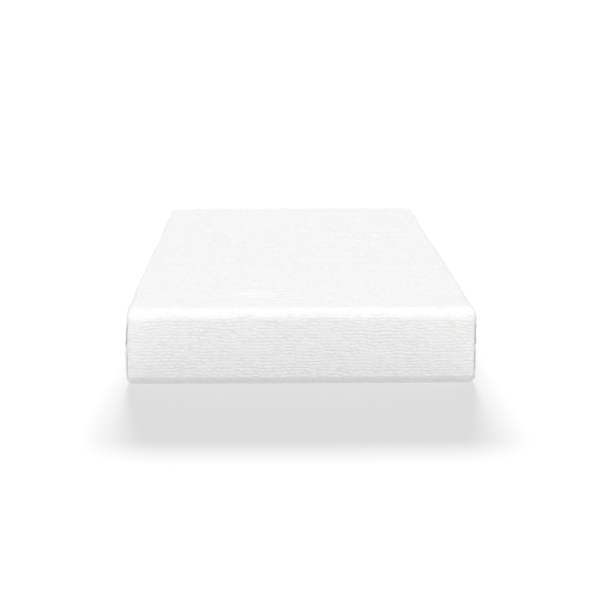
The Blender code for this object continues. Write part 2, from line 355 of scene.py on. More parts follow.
def tucked(grid, thickness):
    """The grid with each edge rolled inwards out of sight, as a seam allowance is, and its inner face.

    Each added row lies on a quarter circle from the surface's own direction to straight inwards, and then on a
    straight run. The inner face is the fabric's thickness away, square to the surface.
    """
    turn = np.concatenate([np.linspace(0, QUARTER, 5)[1:], [QUARTER, QUARTER]])
    run = TUCK_LENGTH * np.array([0, 0, 0, 0, 0.5, 1])
    forward = TUCK_RADIUS * np.sin(turn)
    inward = TUCK_RADIUS * (1 - np.cos(turn)) + run
    count = len(turn)
    facing = down = -normals_of(grid)
    edges = [
        unit(grid[0] - grid[1]), unit(grid[-1] - grid[-2]),
        unit(grid[:, 0] - grid[:, 1]), unit(grid[:, -1] - grid[:, -2]),
    ]
    column = (slice(None), None, None)

    def roll(edge, out, below, face, thick):
        place = edge + forward[column] * out + inward[column] * below
        turned = np.cos(turn)[column] * face - np.sin(turn)[column] * out
        return place, turned, np.repeat(thick[None], count, 0)

    for first, last in (edges[:2], edges[2:]):
        if first.shape[0] != grid.shape[1]:
            first, last = (np.concatenate([e[:1]] * count + [e] + [e[-1:]] * count) for e in (first, last))
        start = roll(grid[0], first, down[0], facing[0], thickness[0])
        end = roll(grid[-1], last, down[-1], facing[-1], thickness[-1])
        grid = np.concatenate([start[0][::-1], grid, end[0]])
        facing = np.concatenate([start[1][::-1], facing, end[1]])
        thickness = np.concatenate([start[2], thickness, end[2]])
        down = np.concatenate([down[:1]] * count + [down] + [down[-1:]] * count)
        grid, facing, down = (a.transpose(1, 0, 2) for a in (grid, facing, down))
        thickness = thickness.T
    return grid, grid + unit(facing) * thickness[..., None], count


def inner_picks(size, count, stride):
    """Rows or columns that the inner face keeps: a few in the tucked edges and each stride-th one between."""
    ends = np.array([0, 2, 4, count])
    middle = np.arange(count + stride, size - count - stride, stride)
    return np.unique(np.concatenate([ends, middle, size - 1 - ends]))


def eased(values, knots, at):
    """The values carried from the knots to other places by cubics that have the knots' own slopes."""
    slopes = np.gradient(values, knots, axis=0)
    k = np.clip(np.searchsorted(knots, at, side="right") - 1, 0, len(knots) - 2)
    step = (knots[k + 1] - knots[k])[:, None]
    t = (at - knots[k])[:, None] / step
    rise = t * t * (3 - 2 * t)
    start, end = t * (1 - t) ** 2 * slopes[k], t * t * (t - 1) * slopes[k + 1]
    return values[k] * (1 - rise) + values[k + 1] * rise + step * (start + end)


def run_cloth(name, rest):
    """A sheet through the points, pinned along its border, four parts in a thousand too large, held a little by what
    it lies on and pressed from inside for twenty frames. Returns the points where it ends."""
    mesh = make_mesh(name, rest.reshape(-1, 3), grid_faces(*rest.shape[:2]))
    cloth_sheet = bpy.data.objects.new(name, mesh)
    scene = bpy.context.scene
    scene.collection.objects.link(cloth_sheet)
    index = np.arange(rest.shape[0] * rest.shape[1]).reshape(rest.shape[:2])
    pins = cloth_sheet.vertex_groups.new(name="pins")
    pins.add(index.reshape(-1).tolist(), CLOTH_HOLD, "REPLACE")
    pins.add(np.concatenate([index[0], index[-1], index[:, 0], index[:, -1]]).tolist(), 1.0, "REPLACE")
    cloth = cloth_sheet.modifiers.new("cloth", "CLOTH")
    settings = cloth.settings
    settings.quality = 6
    settings.mass = CLOTH_WEIGHT
    settings.bending_stiffness = CLOTH_BENDING
    settings.vertex_group_mass = "pins"
    settings.pin_stiffness = CLOTH_STIFF_PIN
    settings.shrink_min = -CLOTH_EXCESS
    settings.use_pressure = True
    settings.uniform_pressure_force = CLOTH_PRESSURE
    settings.effector_weights.gravity = 0.0
    cloth.point_cache.frame_start, cloth.point_cache.frame_end = 1, CLOTH_FRAMES
    for frame_number in range(1, CLOTH_FRAMES + 1):
        scene.frame_set(frame_number)
    result = cloth_sheet.evaluated_get(bpy.context.evaluated_depsgraph_get()).data
    moved = np.empty(rest.size, np.float32)
    result.vertices.foreach_get("co", moved)
    bpy.data.objects.remove(cloth_sheet)
    bpy.data.meshes.remove(mesh)
    scene.frame_set(1)
    return moved.reshape(rest.shape)


def plumped(name, grid):
    """How far the fill presses each point of a panel out: the cloth's own movement along the normal, on a coarse
    grid, eased to a limit either way and carried to the fine one."""
    middle = grid.shape[0] // 2, grid.shape[1] // 2
    lines = grid[:, middle[1]], grid[middle[0]]
    lengths = [np.concatenate([[0], np.cumsum(np.linalg.norm(np.diff(line, axis=0), axis=1))]) for line in lines]
    steps = [np.append(np.arange(0, length[-1] - CLOTH_CELL / 2, CLOTH_CELL), length[-1]) for length in lengths]
    picks = [np.unique(np.searchsorted(length, step)) for length, step in zip(lengths, steps)]
    rest = grid[np.ix_(*picks)]
    push = ((run_cloth(name + "_cloth", rest) - rest) * normals_of(rest)).sum(-1)
    limit = np.where(push > 0, PLUMP_OUT, PLUMP_IN)
    push = limit * np.tanh(push / limit)
    push = eased(push, lengths[0][picks[0]], lengths[0])
    return eased(push.T, lengths[1][picks[1]], lengths[1]).T


def fabric_piece(name, grid, fields, dimple, material, fill, *replaced):
    """A padded panel from its smooth grid: relief and gathers along the normal, tucked edges and an inner face."""
    i = np.arange(grid.shape[0])
    j = np.arange(grid.shape[1])
    from_edge = np.minimum(np.minimum(i, i[::-1])[:, None], np.minimum(j, j[::-1])[None])
    thickness = HEM_FABRIC + (FABRIC - HEM_FABRIC) * smooth(from_edge / 5)
    surface = grid + normals_of(grid) * dimple[..., None]
    outer, _, count = tucked(surface, thickness)
    _, inner, _ = tucked(grid, thickness)
    rows = inner_picks(outer.shape[0], count, INNER_STRIDE)
    cols = inner_picks(outer.shape[1], count, INNER_STRIDE)
    fields = {key: np.pad(values, count, mode="edge") for key, values in fields.items()}
    mesh = closed_shell(name, outer, inner[np.ix_(rows, cols)], rows, cols, fields)
    piece = add_piece(name, mesh, material, "mattress", "cover_knit", *replaced)
    return surface


def read_line(surface, distance, value):
    """A line across a surface where distance, which grows down its rows, has that value, and its normals there."""
    below = np.clip((distance < value).sum(0), 1, len(distance) - 1)
    column = np.arange(surface.shape[1])
    low, high = distance[below - 1, column], distance[below, column]
    share = ((value - low) / (high - low))[:, None]
    normals = normals_of(surface)

    def between(grid):
        return grid[below - 1, column] * (1 - share) + grid[below, column] * share

    return between(surface), between(normals)


def wrap_path():
    """The cover's section in the YZ plane, from the zip's upper edge over top, foot and base to its lower edge."""
    wall = HEIGHT / 2 - SLOT_HALF - TUCK_RADIUS - HEAD_RADIUS
    segments = [
        (wall, 0),
        (HEAD_RADIUS * QUARTER, QUARTER),
        (LENGTH - HEAD_RADIUS - TOP_FOOT_RADIUS, 0),
        (TOP_FOOT_RADIUS * QUARTER, QUARTER),
        (HEIGHT - TOP_FOOT_RADIUS - BASE_FOOT_RADIUS, 0),
        (BASE_FOOT_RADIUS * QUARTER, QUARTER),
        (LENGTH - BASE_FOOT_RADIUS - HEAD_RADIUS, 0),
        (HEAD_RADIUS * QUARTER, QUARTER),
        (wall, 0),
    ]
    return trace(segments, (HALF_LENGTH, ZIP_Z + SLOT_HALF + TUCK_RADIUS), QUARTER)


def roll_radius(out_y, out_z):
    """Radius of the edge between the main panel and a side: the squares of the facing direction weigh the four."""
    return (
        LONG_TOP_ROLL * np.maximum(out_z, 0) ** 2
        + LONG_BASE_ROLL * np.maximum(-out_z, 0) ** 2
        + FOOT_CORNER_ROLL * np.maximum(-out_y, 0) ** 2
        + HEAD_CORNER_ROLL * np.maximum(out_y, 0) ** 2
    )


def seam_gathers(distance, along, salt):
    """Puckers square to a seam: smooth noise along it that fades within a few centimetres."""
    fine = waves(along, 0 * along, 9 * MM, salt) * np.exp(-distance / (9 * MM))
    broad = waves(along, 0 * along, 26 * MM, salt + 3) * np.exp(-distance / (24 * MM))
    return (0.6 * MM * fine + 1.0 * MM * broad) * smooth(distance / (8 * MM))


def knit_depth(relief, seam, share=1.0):
    """How far the surface is drawn in by the relief: all of its depth on the panel and an even half at a seam."""
    open_panel = smooth(seam / (5 * MM)) * share
    return -PEBBLE_DEEP * ((1 - relief) * open_panel + 0.5 * (1 - open_panel))


def slack(across, along):
    """Shallow crumples of the cover where it lies loose: smooth noise at two sizes, drawn out along the length."""
    small = waves(across, along / 2.6, 13 * MM, 51)
    large = waves(across, along / 2.2, 34 * MM, 53)
    return 1.6 * MM * small + 1.0 * MM * large


def hem_dip(distance):
    """How far the fabric is drawn in beside the zip: a shallow trough along the stitch line."""
    return -0.7 * MM * bell(distance - 7 * MM, 2.2 * MM)


def corner_puckers(across, y, salt):
    """Short ridges beside a foot corner that fan out from a point beyond the long edge: the phase is the slope of
    the line from that point, and they fade as bell curves around their own middle."""
    fan_beyond, fan_y = 0.03, -0.635
    middle_across, middle_y = 18 * MM, -0.80
    slope = (fan_y - y) / (across + fan_beyond)
    phase = 2 * math.pi * (1.3 * slope + 0.25 * waves(across, y, 40 * MM, salt))
    return np.sin(phase) * bell(across - middle_across, 16 * MM) * bell(y - middle_y, 0.085)


def ripples(x, y):
    """Long low folds across the top near the foot, a fainter set nearer to it, and the foot corners' ridges: sines
    of y, bent by noise, that fade as bell curves around their own middle."""
    start = y + 0.9
    around = bell(x + 0.12, 0.10)
    folds = np.sin(start / (42 * MM) * 2 * math.pi + 1.8 * around + 1.3 * waves(x, y, 0.12, 31))
    folds = (2.4 + 0.6 * waves(x, y, 0.05, 37)) * MM * folds * around * bell(y + 0.74, 0.09)
    near = np.sin(start / (40 * MM) * 2 * math.pi - 9.0 * x) * bell(x + 0.02, 0.07) * bell(y + 0.86, 0.04)
    left = 1.7 * MM * corner_puckers(HALF_WIDTH + x, y, 33)
    right = 1.1 * MM * corner_puckers(HALF_WIDTH - x, y + 0.02, 35)
    return folds + MM * near + left + right


def make_main_panel(material):
    """The panel that wraps head, top, foot and base, from seam to seam: the section carried along X, with each
    end bent down on a circle until the seam."""
    path, knots = wrap_path()
    along = spans(
        0.0, (knots[1], 2.4 * MM), (knots[2], 2.0 * MM), (knots[3] - 0.60, 3.2 * MM), (knots[3], 2.0 * MM),
        (knots[4], 1.4 * MM), (knots[5], 1.3 * MM), (knots[6], 1.6 * MM), (knots[6] + 0.10, 3.0 * MM),
        (knots[7] - 0.05, 6.5 * MM), (knots[7], 4.0 * MM), (knots[8], 2.4 * MM), (knots[9], 2.4 * MM),
    )
    y, z, heading = path(along)
    out_y, out_z = np.sin(heading)[:, None], -np.cos(heading)[:, None]
    radius = roll_radius(out_y, out_z)
    last = SEAM_ANGLE - (TUCK_RADIUS + SEAM_GAP) / radius
    turn = last * np.linspace(0, 1, 9)[None, 1:]
    drop = radius * (1 - np.cos(turn))
    bent = HALF_WIDTH - radius * (1 - np.sin(turn))
    flat = (HALF_WIDTH - radius) * np.linspace(-1, 1, PANEL_COLUMNS)[None]
    x = np.concatenate([-bent[:, ::-1], flat, bent], axis=1)
    inset = np.concatenate([drop[:, ::-1], 0 * flat, drop], axis=1)
    grid = settled(np.stack([x, y[:, None] - inset * out_y, z[:, None] - inset * out_z], -1))
    plump = plumped("cover_main", grid) * (1 - smooth(-1.6 * out_z))
    grid = grid + normals_of(grid) * plump[..., None]
    u = along[:, None] + 0 * x
    relief = pebbles(x, u, 3)
    seam = np.maximum(HALF_WIDTH - np.abs(x) - radius * (1 - math.sin(SEAM_ANGLE)), 0)
    on_top = smooth(out_z * 1.4)
    dimple = knit_depth(relief, seam, 1 - 0.6 * np.maximum(-out_z, 0))
    dimple = dimple + seam_gathers(seam, u + 3 * (x > 0), 11)
    dimple = dimple + slack(x, u) * on_top * smooth(seam / (30 * MM))
    dimple = dimple + hem_dip(np.minimum(u, knots[-1] - u))
    folds = ripples(grid[..., 0], grid[..., 1]) * on_top
    dimple = dimple + folds
    # painted shade: the relief field, which sets the knit's colour, is darkened in the folds' valleys
    relief_with_fold_shade = relief * (1 - 0.8 * smooth(-folds / (1.3 * MM)))
    fields = {"relief": relief_with_fold_shade, "across": x, "along": u}
    surface = fabric_piece("cover_main", grid, fields, dimple, material, 0.9, "cover_main_panel")
    return [
        read_line(surface, u, HEM_STITCH),
        read_line(surface[::-1], knots[-1] - u[::-1], HEM_STITCH),
    ]


def inset_of(y, z):
    """How far a point of the side's plane is inside the rounded outline, and the outline's nearest direction."""
    radius = np.where(y > 0, HEAD_RADIUS, np.where(z > ZIP_Z, TOP_FOOT_RADIUS, BASE_FOOT_RADIUS))
    a = np.abs(y) - HALF_LENGTH + radius
    b = np.abs(z - ZIP_Z) - HEIGHT / 2 + radius
    corner = np.hypot(np.maximum(a, 0), np.maximum(b, 0))
    inset = radius - corner - np.minimum(np.maximum(a, b), 0)
    rounded = (a > 0) & (b > 0)
    out_y = np.where(rounded, a / np.maximum(corner, 1e-9), a > b) * np.sign(y)
    out_z = np.where(rounded, b / np.maximum(corner, 1e-9), a <= b) * np.sign(z - ZIP_Z)
    return inset, out_y, out_z


def side_height(y, z):
    """Distance from the middle plane to a side: the half width, bent in on the edge's circle near the outline."""
    inset, out_y, out_z = inset_of(y, z)
    radius = roll_radius(out_y, out_z)
    lift = np.clip(radius - inset, 0, radius)
    return HALF_WIDTH - radius + np.sqrt(radius * radius - lift * lift)


def make_side_strip(material, name, side, level, node):
    """One side strip: a height field over (y, z) from the zip or the middle seam out to the seam with the main
    panel. Its lines start on the part of the outline between the head's and the foot's arcs."""
    path, knots = wrap_path()
    begin, arc_end, arc_begin, end = knots[1:5] if level > 0 else knots[5:9]
    outline = spans(
        begin, (arc_end, 2.0 * MM), (arc_end + 0.02, 2.2 * MM), (arc_begin - 0.02, 3.4 * MM),
        (arc_begin, 2.2 * MM), (end, 2.0 * MM),
    )
    y, z, heading = path(outline)
    if level > 0:
        y, z, heading = y[::-1], z[::-1], heading[::-1]
    out_y, out_z = np.sin(heading), -np.cos(heading)
    radius = roll_radius(out_y, out_z)
    first = radius * (1 - np.cos(SEAM_ANGLE + (TUCK_RADIUS + SEAM_GAP) / radius))
    y, edge = y - first * out_y, np.abs(z - first * out_z - ZIP_Z)
    start = TUCK_RADIUS + SEAM_GAP + (SLOT_HALF - SEAM_GAP) * smooth((y - ZIP_START + 4 * MM) / (6 * MM))
    share = spans(0.0, (0.10, 0.016), (0.80, 0.026), (1.0, 0.0145))[:, None]
    yy = y[None] + 0 * share
    rise = start[None] + (edge - start)[None] * share
    zz = ZIP_Z + level * rise
    x = side * side_height(yy, zz)
    grid = settled(np.stack([x, yy, zz], -1))
    if side * level > 0:
        grid = grid[:, ::-1]
        yy, zz, rise = yy[:, ::-1], zz[:, ::-1], rise[:, ::-1]
    inset, _, _ = inset_of(yy, zz)
    plump = plumped(name, grid) * smooth((0.84 - yy) / 0.10)
    grid = grid + normals_of(grid) * plump[..., None]
    relief = pebbles(yy * side, zz, 7)
    ease = 0.35 + 0.65 * smooth((rise - 14 * MM) / (18 * MM))
    seam = np.maximum(inset - first.mean(), 0)
    dimple = knit_depth(relief, seam, ease)
    around = yy + 2 * zz
    dimple = dimple + seam_gathers(seam, around, 17 + side) * smooth((rise - 0.02) / 0.02)
    dimple = dimple + hem_dip(rise - SLOT_HALF - TUCK_RADIUS) * smooth((yy - ZIP_START) / (10 * MM))
    # the relief field paints shade into the knit's grooves through its colour
    fields = {"relief": relief, "across": yy, "along": zz}
    surface = fabric_piece(name, grid, fields, dimple, material, 0.9, node)
    line, out = read_line(surface, rise, SLOT_HALF + TUCK_RADIUS + HEM_STITCH)
    zipped = line[:, 1] > ZIP_START + 4 * MM
    return line[zipped], out[zipped]


# ================================================================ zip, stitches and label
def facing_out(points, *faces):
    """The faces of a closed surface, turned round if the volume under them is negative."""
    volume = 0.0
    for part in faces:
        a, b = points[part[:, 0]], points[part[:, 1:-1]]
        c = points[part[:, 2:]]
        volume += np.einsum("ik,ijk->", a, np.cross(b, c))
    return [part[:, ::-1] for part in faces] if volume < 0 else list(faces)


def closed_mesh(name, points, *faces):
    """A mesh of one closed surface."""
    return make_mesh(name, points, *facing_out(points, *faces))


def tube(rings):
    """Points and faces of the surface through closed rings, with a flat face on the first and on the last."""
    rows, cols = rings.shape[:2]
    ends = np.stack([np.arange(cols), (rows - 1) * cols + np.arange(cols)[::-1]])
    return rings.reshape(-1, 3), grid_faces(rows, cols, ring=True), ends


def joined(name, *solids):
    """One mesh of several closed solids, each given as its points and then its faces."""
    points, faces, count = [], [], 0
    for solid in solids:
        faces += [part + count for part in facing_out(*solid)]
        points.append(solid[0])
        count += len(solid[0])
    return make_mesh(name, np.concatenate(points), *faces)


def edge_run(start):
    """The mattress's outline in plan from that y on the right side, round the head, to the same y on the left."""
    side = HALF_LENGTH - HEAD_CORNER_ROLL - start
    across = WIDTH - 2 * HEAD_CORNER_ROLL
    arc = (HEAD_CORNER_ROLL * QUARTER, QUARTER)
    return trace([(side, 0), arc, (across, 0), arc, (side, 0)], (HALF_WIDTH, start), QUARTER)


def beside(path, distance, depth, height):
    """Points at a depth inwards and a height above the zip's middle, at distances along the outline."""
    x, y, heading = path(distance)
    return np.stack([x - np.sin(heading) * depth, y + np.cos(heading) * depth, ZIP_Z + height + 0 * x], -1)


def make_tape(material, name, level, node):
    """A zip tape: a flat ring with rounded edges carried along the outline, a little wavy between its stitches."""
    path, knots = edge_run(TAPE_LOW.y)
    far = knots[-1]
    at = spans(0.0, (knots[1], 6 * MM), (knots[2], 2 * MM), (knots[3], 6 * MM), (knots[4], 2 * MM), (far, 6 * MM))
    turn = round_turn(24)
    low, high = TAPE_EDGES
    deep = TAPE_DEPTH + 0.4 * MM * np.clip(1.6 * np.sin(turn), -1, 1)
    rise = (low + high) / 2 - (high - low) / 2 * np.clip(1.05 * np.cos(turn), -1, 1)
    wave = 0.12 * MM * waves(at[:, None], rise[None], 14 * MM, 41 + level)
    points = beside(path, at[:, None] + 0 * turn, deep + wave, level * rise[None] + 0 * at[:, None])
    add_piece(name, closed_mesh(name, *tube(points)), material, "mattress", "zip_tape", node)


def make_coil(material, name, level, shift, node):
    """A zip coil: a round wire along a flattened helix, (distance, depth, height) = (pitch t, ellipse of 2 pi t)."""
    path, knots = edge_run(COIL_LOW.y + 0.4 * MM)
    turns = math.floor(knots[-1] / COIL_PITCH - 1)
    t = np.arange(turns * 8 + 1) / 8
    angle = 2 * math.pi * t
    at = (t + shift) * COIL_PITCH
    depth, rise = 2.5 * MM - 0.75 * MM * np.sin(angle), 1.35 * MM + 1.5 * MM * np.cos(angle)
    core = beside(path, at, depth, level * rise)
    _, _, heading = path(at)
    forward = np.stack([np.cos(heading), np.sin(heading), 0 * heading], -1)
    tangent = unit(np.gradient(core, axis=0))
    first = unit(forward - (forward * tangent).sum(-1, keepdims=True) * tangent)
    second = np.cross(tangent, first)
    turn = np.arange(5) * 2 * math.pi / 5
    ring = np.cos(turn)[None, :, None] * first[:, None] + np.sin(turn)[None, :, None] * second[:, None]
    points = core[:, None] + COIL_WIRE * ring
    add_piece(name, closed_mesh(name, *tube(points)), material, "mattress", "zip_nylon", node)


def by_slider(out, along, up):
    """Points given from the slider's middle: outwards from the cover's face, along the zip and up."""
    out, along, up = np.broadcast_arrays(out, along, up)
    return np.stack([HALF_WIDTH + out, SLIDER_MIDDLE + along, ZIP_Z + up], -1)


def pear(s):
    """The slider's width along its length, s from -1 to 1: full at its nose and a fifth narrower at its tail."""
    return 1 - 0.20 * smooth((s + 0.3) / 1.3)


def plate(low, high, fillet):
    """A slider plate: a pear, round at both ends and narrower at its tail, with rounded rims."""
    angle = round_turn(48)
    s, h = squared(np.cos(angle), 0.62), squared(np.sin(angle), 0.62)
    h = h * pear(s)
    turn = np.linspace(0, QUARTER, 5)
    inset = np.concatenate([[2.2 * MM], fillet * (1 - np.sin(turn)), fillet * (1 - np.cos(turn)), [2.2 * MM]])
    level = np.concatenate([[low], low + fillet * (1 - np.cos(turn)), high - fillet * (1 - np.sin(turn)), [high]])
    inset, level = inset[:, None], level[:, None]
    return tube(by_slider(level, s * (SLIDER_HALF_LONG - inset), h * (SLIDER_HALF_WIDE - inset)))


def flange(level, low, high):
    """One turned-in edge of the slider's outer plate: a rounded bar that follows the pear's outline."""
    s = np.linspace(-0.82, 0.82, 25)[:, None]
    rim = SLIDER_HALF_WIDE * pear(s) * (1 - 0.22 * np.abs(s) ** 5) - 0.08 * MM
    angle = round_turn(16)[None]
    a, b = squared(np.cos(angle), 0.6), squared(np.sin(angle), 0.6)
    up = level * (rim - 0.55 * MM + 0.55 * MM * a)
    return tube(by_slider((low + high) / 2 + (high - low) / 2 * b, SLIDER_HALF_LONG * s, up))


def bail():
    """The slider's bail: a flat bar along a low arch, out of the outer plate and back into it."""
    turn = np.linspace(0, math.pi, 33)
    s = -np.cos(turn)
    s, rise = 3.1 * MM * squared(s, 0.75), np.sin(turn) ** 0.55
    core = by_slider(0.2 * MM * (1 - rise) - 0.5 * MM * (rise < 0.05) + 2.65 * MM * rise, s, 0)
    tangent = unit(np.gradient(core, axis=0))
    across = np.array([0.0, 0.0, 1.0])
    out = unit(np.cross(tangent, across))
    angle = round_turn(12)
    wide, thick = (0.95 * MM * np.cos(angle))[None, :, None], (0.42 * MM * np.sin(angle))[None, :, None]
    return tube(core[:, None] + wide * across + thick * out[:, None])


def make_slider(material):
    """The slider: two pear plates, the outer one with flanges round the coils, joined by a wedge, and the bail."""
    outer, inner = 0.1 * MM, SLIDER_LOW.x - HALF_WIDTH
    wedge = np.array([(-5.6, 1.1), (-4.6, 1.2), (-2.4, 0.3), (-2.4, -0.3), (-4.6, -1.2), (-5.6, -1.1)]) * MM
    depth = np.array([inner + 0.6 * MM, outer - 0.6 * MM])[:, None]
    mesh = joined(
        "slider_casting",
        plate(outer - 1.2 * MM, outer, 0.4 * MM), plate(inner, inner + 1.2 * MM, 0.4 * MM), bail(),
        flange(1, outer - 2.9 * MM, outer - 0.3 * MM), flange(-1, outer - 2.9 * MM, outer - 0.3 * MM),
        tube(by_slider(depth, wedge[:, 0], wedge[:, 1])),
    )
    add_piece("slider_casting", mesh, material, "slider", "zip_metal", "zip_slider")


def even_loop(corners, radius, count):
    """Points evenly spaced along a closed outline whose corners are rounded by a cubic through their sides."""
    corners = np.array(corners, float)
    before = corners + unit(np.roll(corners, 1, 0) - corners) * radius
    after = corners + unit(np.roll(corners, -1, 0) - corners) * radius
    t = np.linspace(0, 1, 9)[None, :, None]
    arcs = (1 - t) ** 2 * before[:, None] + 2 * t * (1 - t) * corners[:, None] + t * t * after[:, None]
    line = arcs.reshape(-1, 2)
    line = np.concatenate([line, line[:1]])
    length = np.concatenate([[0], np.cumsum(np.hypot(*np.diff(line, axis=0).T))])
    at = np.linspace(0, length[-1], count + 1)[:-1]
    return np.stack([np.interp(at, length, line[:, k]) for k in (0, 1)], -1)


def make_puller(material):
    """The puller: a flat tab with a window round its bar and a shallow sunk field, as one closed ring of rings."""
    tab = [(26, -4.5), (26, 4.5), (9, 4.5), (4.5, 2.9), (-0.6, 2.9), (-0.6, -2.9), (4.5, -2.9), (9, -4.5)]
    hole = [(4.5, -1.4), (4.5, 1.4), (0.6, 1.4), (0.6, -1.4)]
    outline, window = even_loop(tab, 0.9, 96), even_loop(hole, 0.6, 96)
    outline, window = (
        np.roll(loop, -int(np.argmax(loop[:, 0] - np.abs(loop[:, 1]))), 0) * MM for loop in (outline, window)
    )
    share = np.array([0, 0.06, 0.12, 0.20, 0.80, 0.88, 0.94, 1])[:, None, None]
    thick = np.array([0.40, 0.55, 0.60, 0.46, 0.46, 0.60, 0.55, 0.40])[:, None] * MM
    place = window * (1 - share) + outline * share
    middle = SLIDER_HIGH.x - HALF_WIDTH - 2.0 * MM
    top = by_slider(middle + thick, place[..., 0], place[..., 1])
    below = by_slider(middle - thick, place[..., 0], place[..., 1])
    points = np.concatenate([top, below[::-1]])
    index = np.arange(points.shape[0] * points.shape[1]).reshape(points.shape[:2])
    ahead = np.roll(index, -1, 0)
    quads = np.stack([index, ahead, np.roll(ahead, -1, 1), np.roll(index, -1, 1)], -1).reshape(-1, 4)
    mesh = closed_mesh("puller_tab", points.reshape(-1, 3), quads)
    add_piece("puller_tab", mesh, material, "puller", "zip_metal", "zip_puller")


def stitch_row(line, out):
    """Points and faces of a row of stitches on a line: each is a short bent bead that dips in at both ends."""
    along = np.concatenate([[0], np.cumsum(np.linalg.norm(np.diff(line, axis=0), axis=1))])
    first = np.arange(0.5 * STITCH_PITCH, along[-1] - STITCH_PITCH, STITCH_PITCH)
    share = np.array([0, 0.12, 0.5, 0.88, 1.0])
    at = first[:, None] + STITCH_LENGTH * share

    def read(values):
        return np.stack([np.interp(at, along, values[:, k]) for k in range(3)], -1)

    place, normal = read(line), unit(read(out))
    forward = unit(np.gradient(place, axis=1))
    side = np.cross(forward, normal)
    lift = STITCH_WIRE * np.array([-0.9, 0.3, 0.8, 0.3, -0.9])
    size = STITCH_WIRE * np.array([0.45, 0.9, 1.0, 0.9, 0.45])
    turn = np.arange(6) * math.pi / 3
    ring = np.cos(turn)[:, None] * side[:, :, None] + np.sin(turn)[:, None] * normal[:, :, None]
    points = (place + lift[:, None] * normal)[:, :, None] + size[:, None, None] * ring
    rings, around = len(share), len(turn)
    one = grid_faces(rings, around, ring=True)
    ends = np.stack([np.arange(around)[::-1], (rings - 1) * around + np.arange(around)])
    shift = rings * around * np.arange(len(first))[:, None, None]
    return points.reshape(-1, 3), (one[None] + shift).reshape(-1, 4), (ends[None] + shift).reshape(-1, around)


def make_stitches(material, rows):
    """All the topstitching beside the zip as one mesh."""
    points, quads, ends, count = [], [], [], 0
    for line, out in rows:
        row = stitch_row(line, out)
        points.append(row[0])
        quads.append(row[1] + count)
        ends.append(row[2] + count)
        count += len(row[0])
    mesh = closed_mesh("zip_hem_stitches", np.concatenate(points), np.concatenate(quads), np.concatenate(ends))
    add_piece("zip_hem_stitches", mesh, material, "mattress", "zip_tape")


def make_label(material):
    """The blank care label: a strip of satin that runs out of the head corner's seam along the right side."""
    length = LABEL_SHOWN + HEAD_CORNER_ROLL * (QUARTER - SEAM_ANGLE) - 0.4 * MM
    at = spans(0.0, (LABEL_SHOWN, 1.6 * MM), (length, 1.0 * MM))
    tall = LABEL_HIGH.z - LABEL_LOW.z
    z = LABEL_LOW.z + tall * np.linspace(0, 1, 41)
    turn = np.maximum(at - LABEL_SHOWN, 0) / HEAD_CORNER_ROLL
    y = HALF_LENGTH - HEAD_CORNER_ROLL - LABEL_SHOWN + np.minimum(at, LABEL_SHOWN) + HEAD_CORNER_ROLL * np.sin(turn)
    x = HALF_WIDTH - HEAD_CORNER_ROLL * (1 - np.cos(turn))
    sway = 0.5 * MM + 0.25 * MM * waves(at[:, None], z[None], 18 * MM, 61)
    sway = sway + 0.5 * MM * (1 - smooth(at[:, None] / (14 * MM))) * (1 + 0.5 * np.sin(z[None] * 120))
    grid = np.stack([
        x[:, None] + np.cos(turn)[:, None] * sway,
        y[:, None] + np.sin(turn)[:, None] * sway,
        z[None] + 0 * sway,
    ], -1)
    mesh = make_mesh("satin_label", grid.reshape(-1, 3), grid_faces(*grid.shape[:2]))
    piece = add_piece("satin_label", mesh, material, "mattress", "label_satin", "care_label")
    weave = piece.modifiers.new("cloth", "SOLIDIFY")
    weave.thickness = 0.3 * MM
    weave.offset = 1.0


# ================================================================ inside: foam and its sleeve
def block(low, high, radii, spacing, cuts=((), (), ())):
    """Points and quads of a box with rounded edges.

    The points of an even grid on each of the six faces are drawn in to the box that the radii leave, and pushed
    out again along an ellipsoid of those radii. Equal points of two faces are merged.
    """
    low, high, radii = (np.array(v, float) for v in (low, high, radii))
    lines = []
    for k in range(3):
        inner = spans(low[k] + radii[k], (high[k] - radii[k], spacing))
        ends = radii[k] * (1 - np.tan(np.linspace(QUARTER / 2, 0, 5))[:-1])
        line = np.concatenate([low[k] + ends, inner, (high[k] - ends)[::-1]])
        lines.append(np.unique(np.round(np.concatenate([line, cuts[k]]) if len(cuts[k]) else line, 7)))
    points, quads, count = [], [], 0
    for k in range(3):
        i, j = (k + 1) % 3, (k + 2) % 3
        a, b = np.meshgrid(lines[i], lines[j], indexing="ij")
        for end, face in ((low[k], False), (high[k], True)):
            face_points = np.zeros((*a.shape, 3))
            face_points[..., i], face_points[..., j], face_points[..., k] = a, b, end
            faces = grid_faces(*a.shape)
            points.append(face_points.reshape(-1, 3))
            quads.append((faces if face else faces[:, ::-1]) + count)
            count += a.size
    points, quads = np.concatenate(points), np.concatenate(quads)
    places = np.round(points / 1e-6).astype(np.int64)
    _, first, same = np.unique(places, axis=0, return_index=True, return_inverse=True)
    points, quads = points[first], same.reshape(-1)[quads]
    core = np.clip(points, low + radii, high - radii)
    return core + radii * unit((points - core) / radii), quads


def held_in(points, gap):
    """The points moved in where they are nearer than the gap to the cover's outside, and settled with it."""
    moved = points.copy()
    inset, out_y, out_z = inset_of(moved[:, 1], moved[:, 2])
    push = np.maximum(gap - inset, 0)
    moved[:, 1] -= push * out_y
    moved[:, 2] -= push * out_z
    limit = side_height(moved[:, 1], moved[:, 2]) - gap
    moved[:, 0] = np.clip(moved[:, 0], -limit, limit)
    return settled(moved)


def make_foam(material, name, node, radii, slot):
    """A foam slab: a rounded block with a faint unevenness of its cut faces."""
    low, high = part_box(node)
    points, quads = block(low, high, radii, FOAM_CELL)
    upper = points[:, 2] > (low.z + high.z) / 2
    points[:, 2] += 0.15 * MM * waves(points[:, 0], points[:, 1], 60 * MM, 71) * upper
    mesh = make_mesh(name, held_in(points, FOAM_GAP), quads)
    piece = add_piece(name, mesh, material, "mattress", slot, node)


